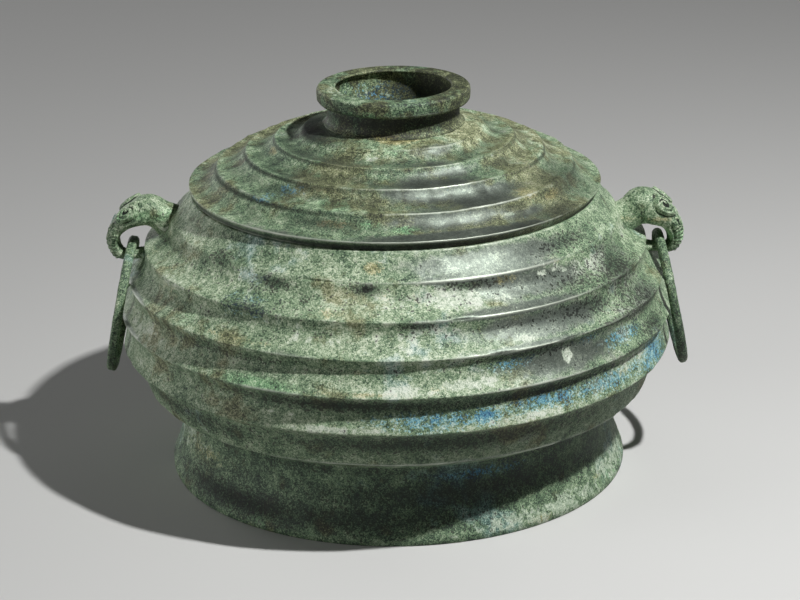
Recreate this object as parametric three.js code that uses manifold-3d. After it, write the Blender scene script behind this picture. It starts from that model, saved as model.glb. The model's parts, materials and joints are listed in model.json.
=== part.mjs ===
// Covered bronze food vessel: a bulging bowl on a ring foot, a domed lid with a ring crown,
// and two beast-head loops on the shoulder that each carry a free ring.
// Millimetres, +Z up, origin on the ground under the middle of the foot.

import * as THREE from 'three';
import { mergeVertices } from 'three/addons/utils/BufferGeometryUtils.js';
import Module from 'manifold-3d';

const wasm = await Module();
wasm.setup();

// Gaps between castings
const seatGap = 0.3;
const lidPlay = 0.6;

// Bowl: one arc rises from the widest point to the top ridge and one falls to the lowest lip;
// the ridges of the fluting lie on them, and each band is a share of the first taller than the last
const bellyRadius = 123.7;
const bellyHeight = 68;
const shoulderInset = 24.7;
const shoulderDrop = 10.7;
const lipInset = 11.4;
const lipRise = 5.3;
const bandGrowth = 0.105;
const ridgeCount = 6;
const bowlFluteDepth = 2.5;
const bowlWall = 3;
const floorWall = 3.2;
const floorInset = 18.7;
const floorDip = 4;
const lipUndercut = 10;
const floorBend = 3;

// Mouth: a ledge for the lid and a flange that rises inside it
const ledgeHeight = 127;
const ledgeProud = 0.6;
const mouthRadius = 75.5;
const flangeWall = 3.5;
const flangeRise = 5;

// Foot: a ring that flares to the ground
const footRadius = 103;
const footTopRadius = 97.2;
const footHeight = 36;
const footWall = 4;
const footLip = 2.6;
const flareHeight = 30;
const flareBend = 1.4;

// Lid: the ridges lie on one sphere, at equal steps in from the rim
const lidRimRadius = 91;
const lidRimBand = 3.7;
const lidArc = 158;
const lidRidgeStep = 12.9;
const lidRidgeCount = 4;
const lidFluteDepth = 1.8;
const lidWall = 2.6;

// Crown: the ring that serves as grip, and as foot when the lid lies upside down
const crownRimRadius = 33.5;
const crownRimHeight = 6.6;
const crownNeckRadius = 28.8;
const crownHeight = 16;
const crownWall = 2.7;
const crownFootFlare = 1.6;
const crownLipInset = 1.2;
const crownRound = 1.5;

// Loops: centre line and section, as [out from the wall, up, thickness, width]
const loopDrop = 23;
const loopStations = [
  [-13.5, 5.0, 15.5, 14],
  [-6.0, 9.6, 13.6, 14],
  [0.8, 13.4, 14.2, 18],
  [7.6, 11.2, 12.8, 20],
  [12.0, 6.2, 10.0, 18],
  [13.8, 0.2, 7.6, 14],
  [12.8, -5.4, 5.8, 11],
  [9.2, -7.5, 4.3, 9],
  [4.2, -6.9, 4.0, 9],
  [-3.0, -6.2, 5.0, 10],
];
const loopSteps = 30;
const loopSides = 12;
const loopSquareness = 2.5;
const hornRadius = 5.2;
const hornHeight = 4.6;
const hornProud = 1.2;
const hornSink = 2.4;
const hornOut = 5.2;
const hornUp = 13.2;
const tenonRadius = 3.6;
const tenonReach = 11;

// Rings: round wire, hung on the lower bar of the loop and leaning on the belly
const ringRadius = 31;
const ringWire = 4.4;
const ringOut = 5.9;

// Facets
const roundSegments = 48;
const crownSegments = 36;
const hornSegments = 14;
const tenonSegments = 12;
const ringSegments = 36;
const wireSegments = 8;
const arcSteps = 5;

// Shares of a fluted band, from its upper ridge down, at which the scoop is drawn
const grooveShare = 0.3;
const bandShares = [0, 0.12, grooveShare, 0.55, 0.8];

const bronze = { metalness: 0.35, roughness: 0.7 };
const materials = {
  bowl: new THREE.MeshStandardMaterial({ ...bronze, color: '#6f8a6c' }),
  foot: new THREE.MeshStandardMaterial({ ...bronze, color: '#5f7a5c' }),
  lid: new THREE.MeshStandardMaterial({ ...bronze, color: '#67806a' }),
  crown: new THREE.MeshStandardMaterial({ ...bronze, color: '#5d7358' }),
  loop: new THREE.MeshStandardMaterial({ ...bronze, color: '#7d9878' }),
  ring: new THREE.MeshStandardMaterial({ ...bronze, color: '#6b8268' }),
};

const at = (radius, height) => new THREE.Vector2(radius, height);

function toSolid(geometry) {
  const bare = geometry.clone();
  bare.deleteAttribute('normal');
  bare.deleteAttribute('uv');
  const welded = mergeVertices(bare, 1e-4);
  const vertProperties = new Float32Array(welded.attributes.position.array);
  const triVerts = new Uint32Array(welded.index.array);
  return new wasm.Manifold(new wasm.Mesh({ numProp: 3, vertProperties, triVerts }));
}

function toGeometry(solid) {
  const { vertProperties, triVerts } = solid.getMesh();
  const geometry = new THREE.BufferGeometry();
  geometry.setAttribute('position', new THREE.BufferAttribute(vertProperties, 3));
  geometry.setIndex(new THREE.BufferAttribute(triVerts, 1));
  geometry.computeVertexNormals();
  return geometry;
}

function revolve(profile, segments) {
  return new THREE.LatheGeometry(profile, segments).rotateX(Math.PI / 2);
}

function closed(profile) {
  return [...profile, profile[0].clone()];
}

// Depth of a fluted band as a share of its full depth: a short undercut below the upper
// ridge, then a long scoop out to the lower one
function scoop(share) {
  const run = share < grooveShare ? grooveShare : 1 - grooveShare;
  return 1 - ((share - grooveShare) / run) ** 2;
}

// Points down a fluted surface, from the first ridge to the last
function flutes(ridges, surfaceAt, depth) {
  const points = [];
  for (let band = 0; band < ridges.length - 1; band += 1) {
    for (const share of bandShares) {
      const { point, normal } = surfaceAt(THREE.MathUtils.lerp(ridges[band], ridges[band + 1], share));
      points.push(point.addScaledVector(normal, -depth * scoop(share)));
    }
  }
  points.push(surfaceAt(ridges[ridges.length - 1]).point);
  return points;
}

// Arc that leaves the widest point upright and reaches a point this far in and this far away
function arcThrough(inset, rise) {
  return (inset ** 2 + rise ** 2) / (2 * inset);
}

const topRidgeHeight = ledgeHeight - shoulderDrop;
const lipHeight = footHeight + lipRise;
const shoulderArc = arcThrough(shoulderInset, topRidgeHeight - bellyHeight);
const baseArc = arcThrough(lipInset, bellyHeight - lipHeight);

// Belly surface at a height, moved along its normal
function bellyAt(height, outset) {
  const arc = height > bellyHeight ? shoulderArc : baseArc;
  const rise = height - bellyHeight;
  const normal = at(Math.sqrt(arc ** 2 - rise ** 2), rise).divideScalar(arc);
  const point = at(bellyRadius - arc, bellyHeight).addScaledVector(normal, arc + outset);
  return { point, normal };
}

const bandWeights = Array.from({ length: ridgeCount - 1 }, (_, band) => 1 + bandGrowth * band);
const firstBand = (topRidgeHeight - lipHeight) / bandWeights.reduce((sum, weight) => sum + weight);
const ridgeHeights = [topRidgeHeight];
for (const weight of bandWeights) {
  ridgeHeights.push(ridgeHeights[ridgeHeights.length - 1] - firstBand * weight);
}

// Shoulder between the ledge and the first ridge, as one more band on a straight slope
const ledgeEdge = at(lidRimRadius + ledgeProud, ledgeHeight);
const topRidge = bellyAt(topRidgeHeight, 0).point;
const shoulderRun = topRidge.clone().sub(ledgeEdge);
const shoulderNormal = at(-shoulderRun.y, shoulderRun.x).normalize();

function shoulderAt(share, outset) {
  const point = ledgeEdge.clone().addScaledVector(shoulderRun, share);
  return { point: point.addScaledVector(shoulderNormal, outset), normal: shoulderNormal };
}

// Outside of the bowl from the ledge down to its lowest lip; outset moves it off the metal
function bowlOutside(outset) {
  const shoulder = flutes([0, 1], (share) => shoulderAt(share, outset), bowlFluteDepth);
  const belly = flutes(ridgeHeights, (height) => bellyAt(height, outset), bowlFluteDepth);
  return [...shoulder.slice(0, -1), ...belly];
}

function vesselBowl() {
  const outside = bowlOutside(0).reverse();
  const lip = outside[0];
  const flangeRadius = mouthRadius + flangeWall;
  const flangeTop = ledgeHeight + flangeRise;
  const seatEdge = footTopRadius - footWall;
  const under = [
    at(0, footHeight - floorDip),
    at(seatEdge - floorBend, footHeight - floorDip / 2),
    at(seatEdge, footHeight),
    at(lip.x - lipUndercut, footHeight),
  ];
  const mouth = [at(flangeRadius, ledgeHeight), at(flangeRadius, flangeTop), at(0, flangeTop)];
  const body = toSolid(revolve([...under, ...outside, ...mouth], roundSegments));
  const tenon = toSolid(tenonPeg(0));
  const hollow = toSolid(revolve(bowlHollow(flangeTop + flangeRise), roundSegments));
  return toGeometry(body.add(tenon).add(tenon.rotate([0, 0, 180])).subtract(hollow));
}

// Smooth inside of the bowl, from the floor up through the mouth to a height above it
function bowlHollow(top) {
  const inset = bowlWall + bowlFluteDepth;
  const floorHeight = footHeight + floorWall;
  const floorDrop = bellyHeight - floorHeight;
  const base = arcThrough(floorInset, floorDrop);
  const baseCentre = bellyRadius - inset - base;
  const floorAngle = 2 * Math.atan(floorInset / floorDrop);
  const shoulder = shoulderArc - inset;
  const shoulderCentre = bellyRadius - shoulderArc;
  const mouthAngle = Math.acos((mouthRadius - shoulderCentre) / shoulder);
  const points = [at(0, floorHeight - floorDip)];
  for (let step = 0; step < arcSteps; step += 1) {
    const angle = floorAngle * (1 - step / arcSteps);
    points.push(at(baseCentre + base * Math.cos(angle), bellyHeight - base * Math.sin(angle)));
  }
  for (let step = 0; step <= arcSteps; step += 1) {
    const angle = mouthAngle * (step / arcSteps);
    points.push(at(shoulderCentre + shoulder * Math.cos(angle), bellyHeight + shoulder * Math.sin(angle)));
  }
  return [...points, at(mouthRadius, top), at(0, top)];
}

function ringFoot() {
  const flare = (height) => {
    const share = Math.max(0, 1 - (height - footLip) / (flareHeight - footLip));
    return footTopRadius + (footRadius - footTopRadius) * share ** flareBend;
  };
  const outer = [at(footRadius, 0)];
  for (let step = 0; step <= arcSteps; step += 1) {
    const height = THREE.MathUtils.lerp(footLip, flareHeight, step / arcSteps);
    outer.push(at(flare(height), height));
  }
  outer.push(at(footTopRadius, footHeight - seatGap));
  const inner = outer.map((point) => at(point.x - footWall, point.y)).reverse();
  return revolve(closed([...outer, ...inner]), roundSegments);
}

// Lid surface at a radius, on a sphere that meets the top of the rim
const lidBase = ledgeHeight + seatGap;
const lidCentre = lidBase + lidRimBand - Math.sqrt(lidArc ** 2 - lidRimRadius ** 2);

function lidAt(radius) {
  const normal = at(radius, Math.sqrt(lidArc ** 2 - radius ** 2)).divideScalar(lidArc);
  return { point: at(0, lidCentre).addScaledVector(normal, lidArc), normal };
}

const crownFootRadius = crownNeckRadius + crownFootFlare;
const crownSeat = lidAt(crownFootRadius).point.y;

function lidDome() {
  const ridges = [];
  for (let ridge = lidRidgeCount; ridge >= 0; ridge -= 1) {
    ridges.push(lidRimRadius - lidRidgeStep * ridge);
  }
  const outside = flutes(ridges, lidAt, lidFluteDepth).reverse();
  const rimBore = mouthRadius + flangeWall + lidPlay;
  const innerArc = lidArc - lidWall - lidFluteDepth;
  const rimAngle = Math.asin(rimBore / innerArc);
  const rim = [at(rimBore, lidBase), at(lidRimRadius, lidBase)];
  const top = [at(crownFootRadius, crownSeat), at(0, crownSeat)];
  const inside = [];
  for (let step = 0; step <= arcSteps; step += 1) {
    const angle = rimAngle * (step / arcSteps);
    inside.push(at(innerArc * Math.sin(angle), lidCentre + innerArc * Math.cos(angle)));
  }
  return revolve([...inside, ...rim, ...outside, ...top], roundSegments);
}

function lidCrown() {
  const foot = crownSeat + seatGap;
  const top = foot + crownHeight;
  const rimFoot = top - crownRimHeight;
  const bore = crownNeckRadius - crownWall;
  const outer = [
    at(crownFootRadius, foot),
    at(crownNeckRadius + crownFootFlare / 4, foot + crownFootFlare),
    at(crownNeckRadius, foot + crownFootFlare * 2),
    at(crownNeckRadius, rimFoot - crownRound),
    at(crownRimRadius - crownRound, rimFoot + crownRound / 2),
    at(crownRimRadius, rimFoot + crownRound * 1.6),
    at(crownRimRadius, top - crownRound),
    at(crownRimRadius - crownRound, top),
  ];
  const inner = [
    at(bore - crownLipInset + crownRound, top),
    at(bore - crownLipInset, top - crownRound),
    at(bore - crownLipInset, rimFoot + crownRound),
    at(bore, rimFoot),
    at(bore, foot),
  ];
  return revolve(closed([...outer, ...inner]), crownSegments);
}

// Loop: sections swept along the centre line, closed by a flat cap at each end
const loopHeight = ledgeHeight - loopDrop;
const loopRoot = bellyAt(loopHeight, 0).point.x;
const loopLine = new THREE.CatmullRomCurve3(
  loopStations.map(([out, up]) => new THREE.Vector3(loopRoot + out, 0, loopHeight + up)),
);
const loopSize = new THREE.CatmullRomCurve3(
  loopStations.map(([, , thickness, width]) => new THREE.Vector3(thickness / 2, width / 2, 0)),
);

function loopSection(share) {
  const centre = loopLine.getPoint(share);
  const ahead = loopLine.getTangent(share);
  const outward = new THREE.Vector3(-ahead.z, 0, ahead.x);
  const size = loopSize.getPoint(share);
  const round = (value) => Math.sign(value) * Math.abs(value) ** (2 / loopSquareness);
  const ring = [];
  for (let side = 0; side < loopSides; side += 1) {
    const angle = (2 * Math.PI * side) / loopSides;
    const point = centre.clone().addScaledVector(outward, size.x * round(Math.cos(angle)));
    point.y = size.y * round(Math.sin(angle));
    ring.push(point);
  }
  return ring;
}

function loft(sections) {
  const sides = sections[0].length;
  const vertices = sections.flat();
  const index = [];
  for (let step = 0; step < sections.length - 1; step += 1) {
    for (let side = 0; side < sides; side += 1) {
      const near = step * sides + side;
      const next = step * sides + ((side + 1) % sides);
      index.push(near, next + sides, next, near, near + sides, next + sides);
    }
  }
  const last = (sections.length - 1) * sides;
  for (let side = 1; side < sides - 1; side += 1) {
    index.push(0, side, side + 1, last, last + side + 1, last + side);
  }
  const geometry = new THREE.BufferGeometry().setFromPoints(vertices);
  geometry.setIndex(index);
  return geometry;
}

// Tenon on the wall that the neck of the loop was cast around
function tenonPeg(outset) {
  const [start, end] = loopLine.points;
  const ahead = end.clone().sub(start).normalize();
  const length = tenonReach + outset;
  const peg = new THREE.CylinderGeometry(tenonRadius + outset, tenonRadius + outset, length, tenonSegments);
  peg.translate(0, length / 2, 0);
  peg.applyQuaternion(new THREE.Quaternion().setFromUnitVectors(new THREE.Vector3(0, 1, 0), ahead));
  return peg.translate(start.x, start.y, start.z);
}

// One curled horn as a low boss on the cheek of the head
function hornBoss(cheek) {
  const boss = new THREE.SphereGeometry(1, hornSegments, hornSegments / 2).rotateX(Math.PI / 2);
  boss.scale(hornRadius, hornProud + hornSink, hornHeight);
  return boss.translate(loopRoot + hornOut, cheek, loopHeight + hornUp);
}

function loopHandle() {
  const sections = [];
  for (let step = 0; step <= loopSteps; step += 1) {
    sections.push(loopSection(step / loopSteps));
  }
  const headWidth = Math.max(...loopStations.map(([, , , width]) => width));
  const cheek = headWidth / 2 - hornSink;
  const head = toSolid(loft(sections)).add(toSolid(hornBoss(cheek))).add(toSolid(hornBoss(-cheek)));
  const wall = bowlOutside(seatGap).reverse();
  const space = toSolid(revolve([at(0, wall[0].y), ...wall, at(0, ledgeHeight)], roundSegments));
  return toGeometry(head.subtract(space).subtract(toSolid(tenonPeg(seatGap))));
}

// Ring: its top wire lies on the lower bar, and its sides rest on the widest ridge
function handleRing() {
  const ring = new THREE.TorusGeometry(ringRadius - ringWire / 2, ringWire / 2, wireSegments, ringSegments);
  return ring.rotateY(Math.PI / 2).translate(0, 0, ringWire / 2 - ringRadius);
}

const barStation = loopStations[loopStations.length - 2];
const barTop = loopHeight + barStation[1] + barStation[2] / 2;
const ringPivot = new THREE.Vector3(loopRoot + ringOut, 0, barTop + seatGap + ringWire / 2);
const wireReach = ringRadius - ringWire / 2;
const restReach = Math.sqrt((bellyRadius + 2 * seatGap) ** 2 - wireReach ** 2) + ringWire / 2;
const ringLean = Math.asin((restReach - ringPivot.x) / wireReach);

function named(name, geometry, material) {
  const mesh = new THREE.Mesh(geometry, material);
  mesh.name = name;
  return mesh;
}

function side(label, turn) {
  const group = new THREE.Group();
  const ring = named(`ring_${label}`, handleRing(), materials.ring);
  ring.position.copy(ringPivot);
  ring.rotation.y = -ringLean;
  group.add(named(`handle_${label}`, loopHandle(), materials.loop), ring);
  group.rotation.z = turn;
  return group;
}

const vessel = new THREE.Group();
vessel.add(
  named('vessel_bowl', vesselBowl(), materials.bowl),
  named('ring_foot', ringFoot(), materials.foot),
  named('lid_dome', lidDome(), materials.lid),
  named('lid_crown', lidCrown(), materials.crown),
  side('right', 0),
  side('left', Math.PI),
);

export default vessel;
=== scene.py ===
import itertools
import json
import math

import bpy
import numpy as np
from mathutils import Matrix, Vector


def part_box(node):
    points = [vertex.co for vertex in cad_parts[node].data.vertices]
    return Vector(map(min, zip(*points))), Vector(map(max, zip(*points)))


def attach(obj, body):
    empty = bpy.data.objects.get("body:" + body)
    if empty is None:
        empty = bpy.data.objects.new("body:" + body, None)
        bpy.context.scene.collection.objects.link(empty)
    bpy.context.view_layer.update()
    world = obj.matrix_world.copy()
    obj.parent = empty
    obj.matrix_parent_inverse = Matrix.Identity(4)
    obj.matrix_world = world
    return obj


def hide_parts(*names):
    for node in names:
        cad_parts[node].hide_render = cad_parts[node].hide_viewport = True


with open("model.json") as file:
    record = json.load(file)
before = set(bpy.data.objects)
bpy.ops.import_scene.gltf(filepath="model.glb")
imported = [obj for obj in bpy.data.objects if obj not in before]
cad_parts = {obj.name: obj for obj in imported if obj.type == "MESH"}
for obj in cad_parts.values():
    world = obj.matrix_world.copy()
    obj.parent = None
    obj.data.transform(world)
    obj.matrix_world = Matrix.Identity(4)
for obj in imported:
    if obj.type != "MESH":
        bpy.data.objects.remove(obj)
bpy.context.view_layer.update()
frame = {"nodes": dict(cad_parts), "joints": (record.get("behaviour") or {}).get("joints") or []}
bpy.context.scene.view_settings.view_transform = "Standard"
print("frame loaded:", sorted(frame["nodes"]))


# small tools; all meshes are worked out in millimetres and written in metres

def linear(hexColour):  # sRGB hex to linear
    parts = [int(hexColour[i:i + 2], 16) / 255 for i in (1, 3, 5)]
    return [p / 12.92 if p <= 0.04045 else ((p + 0.055) / 1.055) ** 2.4 for p in parts] + [1.0]


def boxMm(node):
    low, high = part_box(node)
    return np.array(low) * 1000, np.array(high) * 1000


def cloud(points, size, seed):  # smooth lumps of about this size, from -1 to 1
    primes, scramble, seedShift = np.array([73856093, 19349663, 83492791]), 1274126177, 17.31
    scaled = points / size + seed * seedShift
    cell = np.floor(scaled).astype(np.int64)
    part = scaled - cell
    part = part * part * (3 - 2 * part)
    total = np.zeros(len(points))
    for corner in itertools.product((0, 1), repeat=3):
        mixed = np.bitwise_xor.reduce((cell + np.array(corner)) * primes, axis=1)
        mixed = (mixed ^ (mixed >> 13)) * scramble & 0xFFFFFFFF
        weight = np.prod(np.where(corner, part, 1 - part), axis=1)
        total += weight * (mixed / 0x7FFFFFFF - 1)
    return total


def vectorsOf(collection, field):
    flat = np.empty(len(collection) * 3, np.float32)
    collection.foreach_get(field, flat)
    return flat.reshape(-1, 3).astype(float)


def reliefOf(mesh, rounds):  # height above the smoothed form in mm: ridges plus, grooves minus
    points = vectorsOf(mesh.vertices, "co") * 1000
    normals = vectorsOf(mesh.vertex_normals, "vector")
    ends = np.empty(len(mesh.edges) * 2, np.int32)
    mesh.edges.foreach_get("vertices", ends)
    first, second = ends[0::2], ends[1::2]
    count = np.bincount(ends, minlength=len(points))
    soft = points.copy()
    for _ in range(rounds):
        for axis in range(3):
            around = np.bincount(first, soft[second, axis], len(points))
            around += np.bincount(second, soft[first, axis], len(points))
            soft[:, axis] = (soft[:, axis] + around / count) / 2
    return np.einsum("ij,ij->i", points - soft, normals)


def patchMask(points, patches):  # soft ovals: azimuth from the front, height, across, up, strength
    azimuth = np.degrees(np.arctan2(points[:, 0], -points[:, 1]))
    radius = np.hypot(points[:, 0], points[:, 1])
    mask = np.zeros(len(points))
    for where, height, across, up, strength in patches:
        sideways = np.radians((azimuth - where + 180) % 360 - 180) * radius
        fall = (sideways / across) ** 2 + ((points[:, 2] - height) / up) ** 2
        mask = np.maximum(mask, strength * np.exp(-fall))
    return mask


def makePiece(name, coords, faces):
    mesh = bpy.data.meshes.new(name)
    mesh.from_pydata((coords / 1000).tolist(), [], faces)
    mesh.shade_smooth()
    piece = bpy.data.objects.new(name, mesh)
    bpy.context.scene.collection.objects.link(piece)
    return piece


ageing = {
    "edgeRounds": 6, "softRounds": 45, "hollowRounds": 60,  # smoothing steps, more of them see wider forms
    "edgeStart": 0.4, "chipGain": 2, "chipStart": 0.5,  # a higher start leaves more of the ridge whole
    "crustGain": 1.6, "crustStart": 0.35,  # how crisp and how sparse the crust is
    "insideGain": 3, "insideClean": 0.75,  # inside walls gather less dirt and painted shade than grooves
}


def weather(piece, wear, keep):  # worn ridges (the mask also places painted highlights), uneven casting and crust; keep is 0 where a face stays true
    mesh = piece.data
    points = vectorsOf(mesh.vertices, "co") * 1000
    normals = vectorsOf(mesh.vertex_normals, "vector")
    edge = np.clip(reliefOf(mesh, ageing["edgeRounds"]) / wear["edgeFull"] - ageing["edgeStart"], 0, 1)
    chip = cloud(points, wear["chipSize"], seed=4) * ageing["chipGain"] - ageing["chipStart"]
    chip = np.clip(chip, 0, 1)
    crust = cloud(points, wear["crustSize"], seed=3) * ageing["crustGain"] - ageing["crustStart"]
    move = wear["sway"] * cloud(points, wear["swaySize"], seed=1)
    move += wear["lumps"] * cloud(points, wear["lumpSize"], seed=2)
    move += wear["crust"] * np.clip(crust, 0, 1)
    move -= wear["chips"] * edge * chip
    soft = patchMask(points, wear.get("soft", []))
    if soft.any():
        move -= soft * reliefOf(mesh, ageing["softRounds"])
    points += normals * (move * keep)[:, None]
    mesh.vertices.foreach_set("co", (points / 1000).astype(np.float32).ravel())
    mesh.update()
    dull = np.maximum(soft, patchMask(points, wear.get("dull", [])))
    return edge * (1 - chip) * (1 - np.clip(dull, 0, 1))


def markSurface(piece, worn, hollowFull, patches):  # what the patina follows: worn edges with painted highlights, hollows with dirt and painted shade, deposits
    mesh = piece.data
    points = vectorsOf(mesh.vertices, "co") * 1000
    marks = {name: patchMask(points, patches.get(name, [])) for name in patinaMarks}
    marks["worn"] = worn
    flat, normals = points[:, :2], vectorsOf(mesh.vertex_normals, "vector")[:, :2]
    outward = (normals * flat / np.hypot(*flat.T)[:, None].clip(1)).sum(axis=1)
    clean = np.clip(-ageing["insideGain"] * outward, 0, ageing["insideClean"])
    # grooves darken: dirt, and partly painted shade under the ridges
    sunk = np.clip(-reliefOf(mesh, ageing["hollowRounds"]) / hollowFull, 0, 1)
    marks["hollow"] = np.maximum(marks["hollow"], sunk * (1 - clean))
    for name, values in marks.items():
        layer = mesh.attributes.new(name, "FLOAT", "POINT")
        layer.data.foreach_set("value", values.astype(np.float32))


def finishPiece(piece, size, keep, node, body, material):
    worn = weather(piece, size["wear"], keep)
    markSurface(piece, worn, size["hollowFull"], size["patches"])
    piece.data.materials.append(material)
    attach(piece, body)
    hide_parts(node)
    print("made", piece.name, len(piece.data.vertices), "points")


# turned profiles: rows of radius, height and wanted point spacing

def softProfile(rows, rounding, fineStep, closed=False):  # rounds cast corners, more points where it bends
    grain, sharpBend, blur = 0.1, 0.35, 17  # mm, radians per mm that get the fine step, grains
    rows = np.array(rows, float)
    if closed:
        rows = np.vstack([rows, rows[:1]])
    run = np.r_[0, np.cumsum(np.hypot(*np.diff(rows[:, :2], axis=0).T))]
    dense = np.arange(0, run[-1], grain)
    line = np.stack([np.interp(dense, run, rows[:, k]) for k in range(3)], 1)
    reach = int(4 * rounding / grain)
    bell = np.exp(-0.5 * (np.arange(-reach, reach + 1) * grain / rounding) ** 2)
    bell /= bell.sum()
    if closed:
        padded = np.vstack([line[-reach:], line, line[:reach]])
    else:
        padded = np.vstack([2 * line[0] - line[reach:0:-1], line, 2 * line[-1] - line[-2:-reach - 2:-1]])
    curve = np.stack([np.convolve(padded[:, k], bell, "valid") for k in range(2)], 1)
    heading = np.unwrap(np.arctan2(*np.gradient(curve, axis=0).T[::-1]))
    bend = np.clip(np.abs(np.gradient(heading, grain)) / sharpBend, 0, 1)
    bend = np.convolve(np.pad(bend, blur // 2, mode="edge"), np.ones(blur) / blur, "valid")
    density = (1 - bend) / line[:, 2] + bend / np.minimum(fineStep, line[:, 2])
    tally = np.r_[0, np.cumsum(density[1:] * grain)]
    picks = np.linspace(0, tally[-1], int(tally[-1]) + 1, endpoint=not closed)
    return np.stack([np.interp(picks, tally, curve[:, k]) for k in range(2)], 1)


def bandFaces(rows, sides, closed, flip=False):  # quads between rows of points that each run once round
    near = np.arange(sides)
    ahead = (near + 1) % sides
    faces = []
    for row in range(rows if closed else rows - 1):
        low, high = row * sides, (row + 1) % rows * sides
        quad = [low + near, high + near, high + ahead, low + ahead]
        faces += np.stack(quad[:1] + quad[:0:-1] if flip else quad, 1).tolist()
    return faces


def turned(profile, segments, closed=False):  # spins a profile; an open one starts and ends on the axis
    rows = profile if closed else profile[1:-1]
    angle = np.arange(segments) * 2 * math.pi / segments
    x = np.outer(rows[:, 0], np.cos(angle))
    y = np.outer(rows[:, 0], np.sin(angle))
    z = np.repeat(rows[:, 1:], segments, axis=1)
    coords = np.stack([x, y, z], -1).reshape(-1, 3)
    faces = bandFaces(len(rows), segments, closed, flip=True)
    if closed:
        return coords, faces
    near = np.arange(segments)
    ahead = (near + 1) % segments
    last = len(coords) - segments
    for pole, (one, two) in enumerate(((ahead, near), (last + near, last + ahead)), len(coords)):
        faces += np.stack([np.full(segments, pole), one, two], 1).tolist()
    return np.vstack([coords, [0, 0, profile[0][1]], [0, 0, profile[-1][1]]]), faces


def fluteRun(marks, surface, depths, groove, step, points=30):  # concave bands between ridges at the marks
    rows = []
    for upper, lower, depth in zip(marks[:-1], marks[1:], depths):
        for share in np.linspace(0, 1, points, endpoint=False):
            run = groove if share < groove else 1 - groove
            scoop = 1 - ((share - groove) / run) ** 2
            point, normal = surface(upper + (lower - upper) * share)
            rows.append([*(point - normal * depth * scoop), step])
    return rows + [[*surface(marks[-1])[0], step]]


def arcThrough(inset, rise):  # radius of an arc that leaves upright and gets this far in and up
    return (inset ** 2 + rise ** 2) / (2 * inset)


# node helper and the metal

def addNode(tree, kind, settings=None, links=None):
    node = tree.nodes.new(kind)
    for key, value in (settings or {}).items():
        if key == "stops":
            while len(node.color_ramp.elements) < len(value):
                node.color_ramp.elements.new(1)
            for stop, (place, colour) in zip(node.color_ramp.elements, value):
                stop.position, stop.color = place, linear(colour)
        elif isinstance(key, str) and hasattr(node, key):
            setattr(node, key, value)
        else:
            node.inputs[key].default_value = value
    for key, source in (links or {}).items():
        tree.links.new(source, node.inputs[key])
    return node


# Cast tin bronze, buried for ages: matte corrosion whose grains, about a millimetre across, run from
# near black to pale green, with olive and blue-green areas, smooth dark metal that still shines,
# azurite, bright malachite and earth in places, dirt and painted shade in the hollows and under
# ridges, and rubbed ridges whose pale colour also paints highlights
patinaSizes = {  # lump size in mm, detail, roughness of the detail
    "drift": (36, 3, 0.5),
    "mottle": (8, 4, 0.6),
    "blotch": (2.6, 3, 0.6),
    "grit": (0.5, 2, 0.6),
}
grainSize = 0.8  # mm; real grains go down to a tenth of this, too fine to show
patinaMarks = ("worn", "hollow", "bare", "azurite", "malachite", "ochre", "pale")
patina = {  # grains from dark to pale for each hue, then shares and the shader's values
    "green": [(0, "#1a241d"), (0.25, "#374b3b"), (0.5, "#6b8765"), (0.75, "#a3b695"), (1, "#d7e0c7")],
    "olive": [(0, "#20241a"), (0.25, "#444a33"), (0.5, "#767f5a"), (0.75, "#a9ad89"), (1, "#d9dabd")],
    "teal": [(0, "#1a2829"), (0.25, "#344d49"), (0.5, "#628579"), (0.75, "#99b3a6"), (1, "#d0ddd2")],
    "oliveBelow": 0.445, "tealAbove": 0.57, "hueBlend": 0.07, "toneLow": 0.38, "toneHigh": 0.64,
    "metal": [(0, "#4f5550"), (0.5, "#636b63"), (0.85, "#778076"), (1, "#929c8d")],
    "azurite": [(0, "#143048"), (0.3, "#2c6698"), (0.55, "#4f9cc0"), (0.8, "#95cdd0"), (1, "#dceade")],
    "malachite": [(0, "#1c3523"), (0.3, "#41684a"), (0.55, "#6ca070"), (0.8, "#a2cb99"), (1, "#daebcc")],
    "ochre": [(0, "#292718"), (0.3, "#545031"), (0.55, "#85804f"), (0.8, "#b9b483"), (1, "#dedabb")],
    "flake": [(0, "#5f6f5f"), (0.4, "#95a791"), (0.7, "#bccab3"), (1, "#e3e9da")],
    # the dirt colour also paints shade, and the pale worn colour also paints highlights on ridges
    "dirt_and_shade": "#171c18", "pit": "#10140f", "worn": "#c2c9ba", "crystal": "#e2eadb",
    "metalShare": 0.95, "depositShare": 0.8, "flakeShare": 0.75, "crystalShare": 0.6,
    "dirtShadeShare": 0.8, "pitShare": 0.85, "wornHighlightShare": 0.9, "rubbedGlintFrom": 0.8, "rubbedGlintFull": 1.5,
    "rough": 0.58, "roughBare": 0.43, "roughDirtShade": 0.85, "roughGrit": 0.12, "metallic": 0.65,
    "bump": 0.4, "bumpBare": 0.04, "bumpHeight": 0.0006,  # height in metres
}
patinaShares = {  # how much of each noise and mark is in it
    "tone": {"grain": 0.1, "grit": 0.42, "blotch": 0.18, "mottle": 0.3, "pale": 0.1, "hollow": -0.04},
    "hue": {"drift": 0.6, "mottle": 0.4},
    "rubbed_and_glint": {"bare": 1.2, "mottle": 1.4},
    "relief": {"grain": 0.2, "grit": 0.7, "blotch": 1.2},
}
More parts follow.
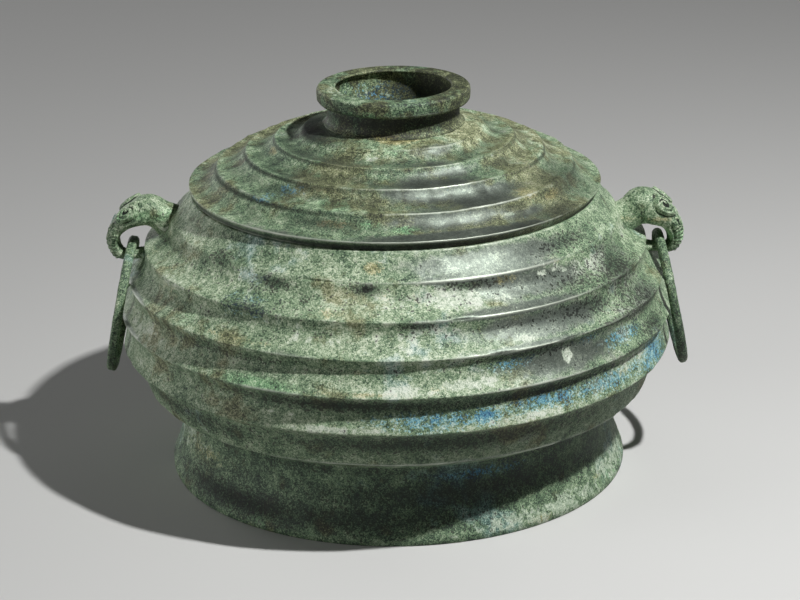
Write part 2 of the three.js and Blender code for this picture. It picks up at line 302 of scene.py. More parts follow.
raggedEdges = {  # the mark, the noises that tear its edge, where it starts and where it is whole
    "metal": ("bare", {"mottle": 1.6, "blotch": 0.8}, 0.7, 1.3),
    "malachite": ("malachite", {"mottle": 1.6, "grain": 0.5}, 0.85, 1.3),
    "azurite": ("azurite", {"blotch": 1.4, "grain": 1.5}, 0.85, 1.3),
    "ochre": ("ochre", {"mottle": 1.6, "grain": 0.5}, 0.85, 1.3),
    "flake": ("pale", {"mottle": 1.4, "blotch": 2.2}, 0.95, 1.1),
    "crystal": ("pale", {"grain": 3.0}, 2.5, 2.6),
    "dirt_and_shade": ("hollow", {"mottle": 1.4, "blotch": 0.8}, 0.45, 1.9),
    "pit": ("hollow", {"grain": 2.4, "blotch": 1.8}, 1.25, 1.4),
}


def buriedBronze(name, look):
    material = bpy.data.materials.new(name)
    material.use_nodes = True
    tree = material.node_tree
    tree.nodes.clear()
    place = addNode(tree, "ShaderNodeTexCoord").outputs["Object"]
    inMm = addNode(tree, "ShaderNodeMapping", {"Scale": (1000, 1000, 1000)}, {"Vector": place}).outputs[0]
    source = {}
    for index, (kind, (size, detail, rough)) in enumerate(patinaSizes.items()):
        apart = {"Location": (31 * index, 17 * index, 0)}  # mm, so that no two noises line up
        shifted = addNode(tree, "ShaderNodeMapping", apart, {"Vector": inMm}).outputs[0]
        settings = {"Scale": 1 / size, "Detail": detail, "Roughness": rough}
        source[kind] = addNode(tree, "ShaderNodeTexNoise", settings, {"Vector": shifted}).outputs[0]
    grains = addNode(tree, "ShaderNodeTexVoronoi", {"Scale": 1 / grainSize}, {"Vector": inMm})
    source["grain"] = addNode(tree, "ShaderNodeSeparateColor", {}, {0: grains.outputs["Color"]}).outputs[0]
    for mark in patinaMarks:
        source[mark] = addNode(tree, "ShaderNodeAttribute", {"attribute_name": mark}).outputs["Fac"]

    def summed(shares, base=None):  # adds shares of the noises and marks
        for kind, share in shares.items():
            settings, links = {"operation": "MULTIPLY_ADD", 1: share, 2: 0}, {0: source[kind]}
            if base is not None:
                links[2] = base
            base = addNode(tree, "ShaderNodeMath", settings, links).outputs[0]
        return base

    def between(value, low, high, most=1.0):
        return addNode(tree, "ShaderNodeMapRange", {1: low, 2: high, 4: most}, {0: value}).outputs[0]

    def broken(name, most):  # a mark with a ragged edge, gone where the mark is 0
        mark, shares, low, high = raggedEdges[name]
        middle = sum(shares.values()) / 2
        return between(summed({mark: 2} | shares), middle + low, middle + high, most)

    def mixed(mask, under, over):  # over is a colour or the output of a node
        settings, links = {"data_type": "RGBA"}, {0: mask, 6: under}
        (settings if isinstance(over, list) else links)[7] = over
        return addNode(tree, "ShaderNodeMix", settings, links).outputs[2]

    # grains from dark pits to pale crust, in three hues that drift over the piece
    tone = between(summed(patinaShares["tone"]), look["toneLow"], look["toneHigh"])
    tint = {}
    for hue in ("green", "olive", "teal", "metal", "azurite", "malachite", "ochre", "flake"):
        tint[hue] = addNode(tree, "ShaderNodeValToRGB", {"stops": look[hue]}, {0: tone}).outputs[0]
    drift, blend = summed(patinaShares["hue"]), look["hueBlend"]
    olive = between(drift, look["oliveBelow"], look["oliveBelow"] - blend)
    teal = between(drift, look["tealAbove"], look["tealAbove"] + blend)
    colour = mixed(teal, mixed(olive, tint["green"], tint["olive"]), tint["teal"])

    # smooth dark metal in ragged islands, then the coloured deposits and pale crystals
    bare = broken("metal", look["metalShare"])
    colour = mixed(bare, colour, tint["metal"])
    for deposit in ("malachite", "azurite", "ochre"):
        colour = mixed(broken(deposit, look["depositShare"]), colour, tint[deposit])
    flakes = broken("flake", look["flakeShare"])
    colour = mixed(flakes, colour, tint["flake"])
    colour = mixed(broken("crystal", look["crystalShare"]), colour, linear(look["crystal"]))

    # dirt, pits and painted shade in the hollows and under ridges, and rubbed ridges whose pale colour
    # also paints highlights, most of all where the metal is bare
    dirt_and_shade = broken("dirt_and_shade", look["dirtShadeShare"])
    colour = mixed(dirt_and_shade, colour, linear(look["dirt_and_shade"]))
    colour = mixed(broken("pit", look["pitShare"]), colour, linear(look["pit"]))
    # rubbed ridges: the pale worn colour is partly rubbed wear, partly a painted highlight on the lit ridges
    rubbed_and_glint = summed(patinaShares["rubbed_and_glint"])
    rubbed_and_glint = between(rubbed_and_glint, look["rubbedGlintFrom"], look["rubbedGlintFull"], look["wornHighlightShare"])
    ridges = {0: source["worn"], 1: rubbed_and_glint}
    worn = addNode(tree, "ShaderNodeMath", {"operation": "MULTIPLY"}, ridges).outputs[0]
    colour = mixed(worn, colour, linear(look["worn"]))

    # bare and rubbed metal is smoother, shines and has hardly any grain; dirt and painted shade are dull
    clear = {"operation": "SUBTRACT", "use_clamp": True}
    bare = addNode(tree, "ShaderNodeMath", clear, {0: bare, 1: flakes}).outputs[0]
    shine = addNode(tree, "ShaderNodeMath", {"operation": "MAXIMUM"}, {0: bare, 1: worn}).outputs[0]
    rough = addNode(tree, "ShaderNodeMix", {2: look["rough"], 3: look["roughBare"]}, {0: shine}).outputs[0]
    rough = addNode(tree, "ShaderNodeMix", {3: look["roughDirtShade"]}, {0: dirt_and_shade, 2: rough}).outputs[0]
    rough = summed({"grit": look["roughGrit"]}, rough)
    metallic = between(shine, 0, 1, look["metallic"])
    calm = addNode(tree, "ShaderNodeMix", {2: look["bump"], 3: look["bumpBare"]}, {0: bare}).outputs[0]
    uneven = {"Strength": calm, "Height": summed(patinaShares["relief"])}
    bump = addNode(tree, "ShaderNodeBump", {"Distance": look["bumpHeight"]}, uneven).outputs[0]
    links = {"Base Color": colour, "Roughness": rough, "Metallic": metallic, "Normal": bump}
    shader = addNode(tree, "ShaderNodeBsdfPrincipled", {}, links)
    addNode(tree, "ShaderNodeOutputMaterial", {}, {"Surface": shader.outputs[0]})
    return material


# bowl

bowl = {
    "bellyRadius": 123.7, "bellyHeight": 68, "shoulderInset": 24.7, "shoulderDrop": 10.7,
    "lipInset": 11.4, "lipRise": 5.3, "lipUndercut": 10, "ridges": 6, "bandGrowth": 0.105,
    "fluteDepths": (3.0, 3.3, 3.6, 3.5, 4.0), "groove": 0.34, "shoulderDepth": 0.8, "shoulderGroove": 0.5,
    "wall": 5.5, "floorWall": 3.2, "floorInset": 18.7, "floorDip": 4, "footInset": 13, "footDip": 1,
    "mouthRadius": 75.5, "flangeWall": 3.5, "flangeRise": 5, "ledgeProud": -0.8, "seatGap": 0.3,
    "rounding": 0.3, "step": 1.2, "fineStep": 0.3, "lipStep": 1.5, "insideStep": 4.5, "floorStep": 6,
    "insideRows": (16, 10), "segments": 344,
    "trueEdge": 1, "trueFade": 4,  # the ledge stays true, wear comes in below it
    "look": {"toneLow": 0.345, "toneHigh": 0.615},
    "wear": {"sway": 0.34, "swaySize": 42, "lumps": 0.15, "lumpSize": 8, "crust": 0.2, "crustSize": 4,
             "chips": 0.7, "chipSize": 15, "edgeFull": 0.08,
             "soft": [(-36, 113, 46, 9, 0.75), (-30, 104, 30, 5, 0.5)],
             "dull": [(68, 112, 34, 14, 1.2), (68, 97, 34, 14, 1.2), (66, 80, 34, 12, 1),
                      (-44, 97, 30, 12, 0.6)]},
    "hollowFull": 0.6,
    "patches": {  # azimuth, height, across, up, strength
        # the narrow bare rows on the ridges and the lip also set where the worn colour paints highlights
        "bare": [(24, 121, 44, 6, 1.0), (32, 111, 44, 6, 0.9), (31, 97, 46, 7, 0.88),
                 (36, 82, 46, 8, 0.82), (24, 116.4, 40, 2, 1.1), (27, 104, 38, 2.5, 1.0),
                 (27, 90.2, 36, 2.5, 0.9), (30, 75.2, 36, 2, 0.6), (62, 110, 24, 10, 0.48),
                 (66, 92, 24, 10, 0.54), (46, 66, 30, 7, 0.45), (-33, 114, 8, 3, 0.5),
                 (-7, 114.6, 5, 3, 0.5), (5, 102, 10, 3, 0.5), (-22, 91, 12, 1.5, 0.5),
                 (-26, 75.3, 16, 1.5, 0.5), (-76, 75.3, 30, 2, 1.0), (-74, 90.5, 20, 1.5, 0.9),
                 (15, 41.3, 120, 1.6, 0.6), (20, 48, 60, 5, 0.4), (170, 100, 60, 12, 0.7),
                 (-130, 82, 40, 10, 0.6)],
        "azurite": [(8, 64, 28, 4.5, 0.64), (3, 65, 6, 3, 0.8), (17.5, 64, 8, 4, 0.95),
                    (31, 66, 30, 5, 0.66), (48, 66, 28, 5, 0.7), (66, 66, 20, 8, 0.8),
                    (23, 84.6, 12, 3, 0.55), (42, 87, 10, 2.5, 0.52), (54, 82, 14, 4, 0.66),
                    (-34, 104, 14, 5, 0.4), (-36, 113, 10, 3, 0.42), (150, 70, 40, 8, 0.55),
                    (200, 95, 20, 8, 0.45)],
        "malachite": [(-28, 77, 30, 4, 0.68), (-12, 62, 20, 4, 0.5), (66, 70, 10, 8, 0.5),
                      (58, 84, 10, 6, 0.42), (-50, 95, 16, 6, 0.45), (130, 80, 40, 10, 0.5),
                      (-150, 110, 30, 6, 0.5)],
        "ochre": [(-5.6, 121, 6, 3, 0.75), (27, 114, 8, 3, 0.62), (44, 116, 8, 3, 0.5),
                  (-15, 105.5, 6, 2.5, 0.5), (-34, 92.4, 30, 1.5, 0.55), (8, 78, 12, 3, 0.45),
                  (-8, 76.6, 34, 1.3, 0.6), (-7, 84, 10, 3, 0.4), (-78, 108, 8, 8, 0.5),
                  (-60, 100, 14, 4, 0.45), (0, 110, 24, 5, 0.35), (52, 66, 10, 3, 0.55),
                  (200, 60, 20, 6, 0.5), (120, 90, 14, 6, 0.4)],
        # pale crust and flakes; the oval at (-66, 64) is a painted sheen on the lowest left band
        "pale": [(-2, 109, 34, 8, 0.42), (0, 97, 34, 7, 0.42), (-40, 110, 30, 10, 0.3),
                 (-12, 60.5, 34, 2.5, 0.65), (14, 110, 16, 5, 0.8), (24, 108, 10, 4, 0.45),
                 (10, 100, 16, 4, 0.5), (-66, 80, 40, 6, 0.5), (-18, 95, 20, 3, 0.55),
                 (0.5, 77.6, 20, 3, 0.6), (10, 121, 30, 4, 0.2), (-25, 65.5, 2, 0.8, 1.0),
                 (-21, 65.2, 1.5, 0.7, 1.0), (-66, 64, 14, 4, 0.5), (42, 113, 20, 5, 0.5),
                 (52, 110, 20, 5, 0.55), (55, 109.5, 14, 5, 0.72), (26, 61, 50, 3, 0.52),
                 (10, 90, 40, 5, 0.4), (14, 79, 20, 3, 0.75), (36.4, 82.8, 2.5, 4, 1.0),
                 (27, 93, 7, 2, 0.6), (-68, 118, 34, 8, 0.4), (60, 90, 18, 8, 0.6),
                 (62, 101, 20, 6, 0.55), (78, 112, 8, 4, 0.6), (54, 70, 24, 8, 0.5),
                 (-60, 104, 24, 5, 0.45), (180, 88, 60, 16, 0.5), (-120, 100, 40, 14, 0.5)],
        # dark patina and dirt; the thin strips just under the ridges, the lowest band and (46, 72) also paint
        # the shade under the ridges
        "hollow": [(-30, 113, 9, 2.5, 0.75), (-34, 104, 14, 2, 0.7), (-48, 117, 8, 3, 0.55),
                   (-30, 105, 20, 3, 0.3), (18, 114, 14, 1.8, 0.8), (5, 102, 12, 2.5, 0.6),
                   (-10, 71, 60, 3, 0.7), (10, 52, 90, 5, 0.6), (-50, 50, 60, 6, 0.5),
                   (30, 71, 40, 3, 0.7), (30, 87, 40, 2.5, 0.6), (45, 98, 24, 4, 0.6),
                   (60, 104, 20, 10, 0.75), (47, 107, 18, 5, 0.5), (46, 72, 16, 4, 0.5),
                   (58, 114, 16, 5, 0.4), (50, 121, 20, 3.5, 0.55), (62, 90, 22, 8, 0.7),
                   (66, 78, 16, 5, 0.6), (58, 103.5, 24, 1.8, 0.75), (56, 90, 26, 1.8, 0.75),
                   (58, 75, 24, 1.6, 0.6), (-40, 86, 50, 3, 0.4), (-7, 113.5, 7, 2.5, 0.8)],
    },
}


def bowlProfile(size):
    ledge = boxMm("lid_dome")[0][2] - size["seatGap"]
    lidRim = boxMm("lid_dome")[1][0]
    footTop = boxMm("ring_foot")[1][2] + size["seatGap"]
    footInside = boxMm("ring_foot")[1][0] - size["footInset"]
    belly, middle = size["bellyRadius"], size["bellyHeight"]
    top, lip = ledge - size["shoulderDrop"], footTop + size["lipRise"]
    shoulderArc = arcThrough(size["shoulderInset"], top - middle)
    baseArc = arcThrough(size["lipInset"], middle - lip)

    def wall(height):
        arc = shoulderArc if height > middle else baseArc
        normal = np.array([math.sqrt(arc ** 2 - (height - middle) ** 2), height - middle]) / arc
        return np.array([belly - arc, middle]) + normal * arc, normal

    edge = np.array([lidRim + size["ledgeProud"], ledge])
    slope = wall(top)[0] - edge
    across = np.array([-slope[1], slope[0]]) / np.hypot(*slope)
    weights = 1 + size["bandGrowth"] * np.arange(size["ridges"] - 1)
    heights = top - np.r_[0, np.cumsum(weights)] * (top - lip) / weights.sum()

    def plainBand(share):
        return edge + slope * share, across

    shoulder = fluteRun([0, 1], plainBand, [size["shoulderDepth"]], size["shoulderGroove"], size["step"])
    bands = fluteRun(heights, wall, size["fluteDepths"], size["groove"], size["step"])
    outside = (shoulder[:-1] + bands)[::-1]
    flange, rim = size["mouthRadius"] + size["flangeWall"], ledge + size["flangeRise"]
    under = [[0, footTop - size["floorDip"], size["floorStep"]],
             [footInside, footTop - size["footDip"], size["floorStep"]],
             [outside[0][0] - size["lipUndercut"], footTop, size["lipStep"]]]
    mouth = [[*point, size["step"]] for point in ((flange, ledge), (flange, rim), (size["mouthRadius"], rim))]

    inset = size["wall"]
    floor = footTop + size["floorWall"]
    inner, innerBase = shoulderArc - inset, arcThrough(size["floorInset"], middle - floor)
    mouthAngle = math.acos((size["mouthRadius"] - belly + shoulderArc) / inner)
    floorAngle = 2 * math.atan(size["floorInset"] / (middle - floor))
    upperRows, lowerRows = size["insideRows"]
    inside = []
    for angle in np.linspace(mouthAngle, 0, upperRows):
        inside.append([belly - shoulderArc + inner * math.cos(angle), middle + inner * math.sin(angle)])
    for angle in np.linspace(0, floorAngle, lowerRows)[1:]:
        across = belly - inset - innerBase * (1 - math.cos(angle))
        inside.append([across, middle - innerBase * math.sin(angle)])
    inside = [[*point, size["insideStep"]] for point in inside]
    return under + outside + mouth + inside + [[0, floor - size["floorDip"], size["floorStep"]]], ledge


bowlRows, ledgeHeight = bowlProfile(bowl)
coords, faces = turned(softProfile(bowlRows, bowl["rounding"], bowl["fineStep"]), bowl["segments"])
bowlPiece = makePiece("fluted_bowl", coords, faces)
bowlKeep = np.clip((ledgeHeight - bowl["trueEdge"] - coords[:, 2]) / bowl["trueFade"], 0, 1)
bowlMetal = buriedBronze("cast bronze, buried, malachite patina", patina | bowl["look"])
finishPiece(bowlPiece, bowl, bowlKeep, "vessel_bowl", "vessel", bowlMetal)


# ring foot

foot = {
    "topRadius": 96.2, "wall": 3.6, "lip": 2.6, "flareHeight": 30, "flareBend": 1.9, "fillet": 2.4,
    "filletCurve": ((0.5, 0.15), (0.8, 0.5), (1, 1)),  # shares of the height and of the spread
    "rounding": 0.5, "step": 1.6, "fineStep": 0.5, "insideStep": 4, "flareRows": 12, "segments": 320,
    "trueEdge": 0.4, "trueFade": 3,  # the standing edge stays true
    "look": {"toneLow": 0.4, "toneHigh": 0.68},
    "wear": {"sway": 0.3, "swaySize": 40, "lumps": 0.14, "lumpSize": 7, "crust": 0.16, "crustSize": 4,
             "chips": 0.4, "chipSize": 15, "edgeFull": 0.1},
    "hollowFull": 0.6,
    "patches": {
        "bare": [(20, 20, 50, 8, 0.4), (200, 16, 50, 8, 0.5)],
        "azurite": [(22, 28, 24, 4, 0.5), (140, 20, 20, 6, 0.5)],
        "malachite": [(-35, 4, 60, 5, 0.45), (70, 5, 40, 6, 0.5), (-60, 20, 30, 8, 0.35),
                      (10, 34, 90, 2, 0.5)],
        "ochre": [(-62, 20, 34, 9, 0.5), (-30, 8, 20, 4, 0.4), (36, 3, 14, 3, 0.6), (60, 8, 10, 3, 0.5),
                  (-150, 8, 30, 5, 0.4)],
        "pale": [(40, 5, 70, 8, 0.6), (72, 8, 40, 9, 0.6), (-76, 24, 44, 14, 0.55), (-40, 3, 60, 3, 0.3),
                 (0, 34.5, 120, 2, 0.5)],
        # painted shade under the belly, on the foot's front and lower left
        "hollow": [(16, 20, 70, 8, 0.5), (-10, 10, 60, 6, 0.5), (-44, 9, 50, 6, 0.65)],
    },
}


def footProfile(size):
    radius, _, top = boxMm("ring_foot")[1]
    outer = [[radius, 0, size["step"]]]
    for height in np.linspace(size["lip"], size["flareHeight"], size["flareRows"]):
        share = 1 - (height - size["lip"]) / (size["flareHeight"] - size["lip"])
        spread = (radius - size["topRadius"]) * share ** size["flareBend"]
        outer.append([size["topRadius"] + spread, height, size["step"]])
    for rise, share in size["filletCurve"]:
        height = size["flareHeight"] + (top - size["flareHeight"]) * rise
        outer.append([size["topRadius"] + size["fillet"] * share, height, size["step"]])
    inner = [[r - size["wall"], z, size["insideStep"]] for r, z, _ in reversed(outer)]
    return outer + inner


footRows = softProfile(footProfile(foot), foot["rounding"], foot["fineStep"], closed=True)
coords, faces = turned(footRows, foot["segments"], closed=True)
footPiece = makePiece("flared_foot", coords, faces)
footKeep = np.clip((coords[:, 2] - foot["trueEdge"]) / foot["trueFade"], 0, 1)
footMetal = buriedBronze("cast bronze, dark malachite patina", patina | foot["look"])
finishPiece(footPiece, foot, footKeep, "ring_foot", "vessel", footMetal)


# lid

lid = {
    "rimBand": 3.7, "arc": 158, "ridgeStep": 12.9, "ridges": 4, "fluteDepth": 2.7, "groove": 0.46,
    "wall": 4.4, "rimLean": 1.6, "play": 0.6, "crownCover": 3.1,
    "rounding": 0.28, "step": 1.1, "fineStep": 0.3, "boreStep": 1, "rimStep": 0.8, "crownStep": 1.5,
    "insideStep": 4, "insideRows": 16, "segments": 380,
    "trueEdge": 1, "trueFade": 4,  # the seat stays true, wear comes in above it
    "look": {"oliveBelow": 0.53, "tealAbove": 0.66, "toneLow": 0.36, "toneHigh": 0.64, "pitShare": 0.35},
    "wear": {"sway": 0.4, "swaySize": 30, "lumps": 0.24, "lumpSize": 7, "crust": 0.22, "crustSize": 4,
             "chips": 0.8, "chipSize": 13, "edgeFull": 0.07,
             "soft": [(80, 142, 40, 14, 0.25), (-150, 145, 40, 14, 0.4)]},
    "hollowFull": 0.6,
    "patches": {
        # the narrow bare rows along the rim edge also set where the worn colour paints a highlight
        "bare": [(18, 136, 36, 4, 0.85), (16, 143.5, 30, 4, 0.95), (32, 141, 26, 4, 0.85),
                 (25, 153.5, 16, 3, 0.7), (24, 148, 22, 3, 0.75), (40, 133.5, 18, 2.5, 0.7),
                 (-74, 128.5, 60, 2, 1.0), (-50, 140, 14, 3, 0.3), (16, 131, 44, 1.4, 1.2),
                 (-30, 130.8, 40, 1.2, 0.6), (200, 142, 40, 6, 0.8), (-120, 136, 24, 4, 0.5)],
        "azurite": [(-40, 142, 7, 2, 0.5), (-46, 138.5, 6, 1.5, 0.44), (170, 146, 12, 4, 0.5)],
        "malachite": [(-8, 135, 10, 2.5, 0.6), (3, 133.6, 8, 2, 0.7), (-20, 140, 12, 1.5, 0.55),
                      (-33, 146, 10, 3, 0.4), (70, 150, 24, 6, 0.4), (0, 154, 20, 3, 0.45),
                      (140, 138, 30, 5, 0.5)],
        "ochre": [(47, 138.5, 10, 2.5, 0.6), (57, 136, 12, 2.5, 0.7), (4, 157, 14, 1.2, 1.0),
                  (-75, 148.2, 8, 2, 0.7), (-67, 136, 12, 3, 0.5), (-18, 135, 14, 2.5, 0.5),
                  (-24, 144, 14, 2.5, 0.5), (-150, 142, 30, 6, 0.45)],
        "pale": [(24, 136, 8, 2, 0.4), (37, 134.5, 8, 2, 0.5), (-42, 134, 16, 2.5, 0.4),
                 (44, 139, 10, 2, 0.35), (-9, 152, 10, 1.2, 0.55), (100, 145, 60, 14, 0.35),
                 (-160, 150, 40, 8, 0.4)],
        # dirt and dark patina; (-76, 155) is the crown's painted shadow, and the long thin strips at -52 and
        # 76 paint the shade under the ridges
        "hollow": [(0, 128.3, 70, 1.6, 1.3), (90, 128.3, 70, 1.6, 1.3), (180, 128.3, 120, 1.6, 1.3),
                   (-52, 137.7, 74, 1.1, 0.8), (-52, 144.6, 62, 0.9, 0.8), (-52, 150, 50, 0.8, 0.7),
                   (76, 137.7, 44, 1.1, 0.8), (76, 144.6, 40, 0.9, 0.8), (76, 150, 34, 0.8, 0.6),
                   (-43, 141, 10, 2, 0.7), (-35, 144, 10, 2.2, 0.7), (-22, 134.5, 22, 2.4, 0.7),
                   (-11, 136.6, 8, 1.4, 0.5), (38, 130.8, 16, 1.6, 0.75), (52, 131.6, 18, 2.2, 0.8),
                   (20, 140, 30, 1.6, 0.6), (76, 141, 14, 3, 0.6), (-76, 155, 24, 2.2, 1.2),
                   (70, 137, 28, 7, 0.7), (39, 136, 10, 2.5, 0.55), (-20, 144.5, 20, 1.2, 0.5),
                   (56, 147, 8, 2, 0.7), (-5, 149.5, 24, 1, 0.5)],
    },
}


def lidProfile(size):
    low, high = boxMm("lid_dome")
    rim, base, top = high[0], low[2], high[2]
    centre = base + size["rimBand"] - math.sqrt(size["arc"] ** 2 - rim ** 2)

    def dome(radius):
        normal = np.array([radius, math.sqrt(size["arc"] ** 2 - radius ** 2)]) / size["arc"]
        return np.array([0, centre]) + normal * size["arc"], normal

    ridges = [rim - size["ridgeStep"] * k for k in range(size["ridges"], -1, -1)]
    depths = [size["fluteDepth"]] * size["ridges"]
    outside = fluteRun(ridges, dome, depths, size["groove"], size["step"])[::-1]
    bore = bowl["mouthRadius"] + bowl["flangeWall"] + size["play"]
    inner = size["arc"] - size["wall"]
    inside = []
    for angle in np.linspace(0, math.asin(bore / inner), size["insideRows"]):
        inside.append([inner * math.sin(angle), centre + inner * math.cos(angle), size["insideStep"]])
    seat = [[bore, base, size["boreStep"]], [rim - size["rimLean"], base, size["rimStep"]]]
    crownEdge = boxMm("lid_crown")[1][0] - size["crownCover"]
    underCrown = [[crownEdge, top, size["crownStep"]], [0, top, size["insideStep"]]]
    return inside + seat + outside + underCrown, base


lidRows, lidBase = lidProfile(lid)
coords, faces = turned(softProfile(lidRows, lid["rounding"], lid["fineStep"]), lid["segments"])
lidPiece = makePiece("fluted_lid", coords, faces)
lidKeep = np.clip((coords[:, 2] - lidBase - lid["trueEdge"]) / lid["trueFade"], 0, 1)
lidMetal = buriedBronze("cast bronze, olive malachite patina", patina | lid["look"])
finishPiece(lidPiece, lid, lidKeep, "lid_dome", "lid", lidMetal)


# ring crown

crown = {
    "rimHeight": 6.6, "neckRadius": 28.8, "footFlare": 2.6, "mouthRadius": 25.4, "boreRadius": 28.0,
    "lipThick": 1.0, "lipRound": 0.3, "undercutSlope": 0.4, "boreTaper": 0.6, "turn": 0.8, "sink": 0.35,
    "neckCurve": ((1, 0), (0.4, 0.35), (0.12, 0.75), (0, 1.4)),  # out from the neck and up, in foot flares
    "rounding": 0.24, "step": 0.9, "fineStep": 0.3, "segments": 240,
    "baseFade": 2, "topFade": 1.5, "topLeast": 0.3,  # seat and standing rim stay nearly true
    "look": {"oliveBelow": 0.56, "tealAbove": 0.66, "toneLow": 0.42, "toneHigh": 0.69},
    "wear": {"sway": 0.22, "swaySize": 26, "lumps": 0.14, "lumpSize": 5, "crust": 0.16, "crustSize": 3,
             "chips": 0.5, "chipSize": 11, "edgeFull": 0.12},
    "hollowFull": 0.9,
    "patches": {
        "bare": [(20, 168, 16, 3, 0.4)],
        "azurite": [(190, 162, 30, 6, 0.43)],
        "malachite": [(-20, 168, 20, 3, 0.5), (80, 170, 20, 4, 0.4)],
        "ochre": [(-8, 158, 8, 1.2, 1.0), (150, 162, 8, 4, 0.45), (-60, 173, 20, 2, 0.4)],
        "pale": [(-60, 173, 24, 2, 0.45), (10, 166.5, 16, 1.2, 0.5), (200, 162, 30, 6, 0.4)],
        # painted shade: round the neck and inside wall under the rim, and inside on the right
        "hollow": [(20, 163, 80, 4, 0.6), (140, 163, 24, 8, 0.8)],
    },
}


def crownProfile(size):
    low, high = boxMm("lid_crown")
    rim, base, top = high[0], low[2] - size["sink"], high[2]
    neck, turn, flare, rimFoot = size["neckRadius"], size["turn"], size["footFlare"], top - size["rimHeight"]
    mouth, bore = size["mouthRadius"], size["boreRadius"]
    lipRound, lipFoot = size["lipRound"], top - size["lipThick"]
    outer = [[neck + flare * out, base + flare * up] for out, up in size["neckCurve"]]
    outer += [[neck, rimFoot - turn], [neck + turn, rimFoot], [rim - turn, rimFoot + turn * 0.2],
              [rim, rimFoot + turn * 1.4], [rim, top - turn], [rim - turn, top]]
    inner = [[mouth + lipRound, top], [mouth, top - lipRound], [mouth, lipFoot],
             [bore, lipFoot - size["undercutSlope"]], [bore, rimFoot], [mouth + size["boreTaper"], base]]
    return [[*point, size["step"]] for point in outer + inner]


crownRows = softProfile(crownProfile(crown), crown["rounding"], crown["fineStep"], closed=True)
coords, faces = turned(crownRows, crown["segments"], closed=True)
crownPiece = makePiece("ring_crown", coords, faces)
above, below = coords[:, 2] - coords[:, 2].min(), coords[:, 2].max() - coords[:, 2]
crownKeep = np.clip(above / crown["baseFade"], 0, 1) * np.clip(below / crown["topFade"], crown["topLeast"], 1)
crownMetal = buriedBronze("cast bronze, mottled malachite patina", patina | crown["look"])
finishPiece(crownPiece, crown, crownKeep, "lid_crown", "lid", crownMetal)


# beast-head loops: swept body, curled horns, brow, eyes and a beaded snout, fused and worn soft

loop = {
    "wallRadius": 111.6, "height": 104,
    "stations": [  # out from the wall, up, thickness, width
        (-17, 5.5, 21, 18), (-12.5, 7.5, 17.6, 16), (-7, 10.2, 15.4, 15.4), (-1.8, 12.5, 16.4, 17.5),
        (3.4, 10.9, 13.6, 19.5), (8, 8.2, 10.8, 19), (11.3, 4.5, 8.6, 16.5), (12.9, 0, 7.2, 14),
        (12.1, -4.9, 5.5, 11), (9.2, -7.1, 4, 9), (4.2, -6.7, 3.9, 8.6), (-1, -6.3, 4.6, 9.2),
        (-6, -6.2, 7, 12)],
    "trims": {  # station, mm off the outside and the inside: the left loop is slimmer, with a fuller neck
        "right": {1: (2.6, 0), 2: (1.6, 0), 3: (0.4, 0), 4: (0.2, 0)},
        "left": {1: (0.2, 0), 2: (0.4, 2), 3: (0.7, 2.6), 4: (0.5, 2.7), 5: (0.2, 2.6), 6: (0, 2.5),
                 7: (0, 2.2), 8: (0, 1)}},
    "sections": 78, "sides": 32, "squareness": 2.7, "voxel": 0.32, "softFactor": 0.5, "softSteps": 3,
    "stationGap": 5.6, "halfGirth": 9.0,  # mm per step along and per radian round the head
    "hornAt": {"right": 4.3, "left": 4.2}, "hornTurned": {"right": 0.8, "left": 0.9},
    "hornLong": 5.0, "hornHigh": 5.2, "hornStart": 2.6, "hornTurns": 2.3, "hornSpread": (1, 0.16),
    "hornLift": (0.9, 1.5), "hornCord": 0.6,
    "groundTurns": 3, "groundSpread": (1.05, 0.1), "groundLift": 0.1, "groundCord": 1.1,  # under the horn
    "browFrom": 5.5, "browTo": 6.8, "browTurned": 0.75, "browCord": 0.8, "browLift": 0.2,
    "eyeAt": 5.9, "eyeTurned": 1.3, "eyeRing": 1.6, "eyeCord": 0.5, "eyeLift": 0.15, "eyeball": 0.8,
    "beadFrom": 6.2, "beadTo": 8.3, "beadRows": 8, "beadsAcross": 12, "beadSpread": 1.9,
    "beadRadius": 0.85, "beadSink": 0.15,
    "wear": {"sway": 0.15, "swaySize": 14, "lumps": 0.12, "lumpSize": 3.2, "crust": 0.12, "crustSize": 2,
             "chips": 0.1, "chipSize": 6, "edgeFull": 0.12},
    "hollowFull": 0.22,
    "look": {"toneLow": 0.36, "toneHigh": 0.62, "dirtShadeShare": 0.9},
    "patches": {
        "bare": [(97, 118, 4, 4, 0.5), (-97, 118, 4, 4, 0.3)],
        "malachite": [(90, 104, 12, 6, 0.8), (-86, 117, 7, 5, 0.6)],
        "ochre": [(84, 112.5, 8, 2.5, 0.6), (-82, 108, 6, 7, 0.9), (-90, 108, 6, 6, 0.6)],
        "pale": [(90, 112, 60, 20, 0.3), (-90, 112, 60, 20, 0.3), (-84, 111, 4, 2, 0.9)],
    },
}


def along(points, places):  # smooth run through the points, all columns alike
    points = np.array(points, float)
    padded = np.vstack([2 * points[0] - points[1], points, 2 * points[-1] - points[-2]])
    places = np.clip(places, 0, len(points) - 1)
    start = np.minimum(places.astype(int), len(points) - 2)
    t = (places - start)[:, None]
    a, b, c, d = (padded[start + k] for k in range(4))
    slope, bow, twist = c - a, 2 * a - 5 * b + 4 * c - d, 3 * b - a - 3 * c + d
    return 0.5 * (2 * b + slope * t + bow * t ** 2 + twist * t ** 3)


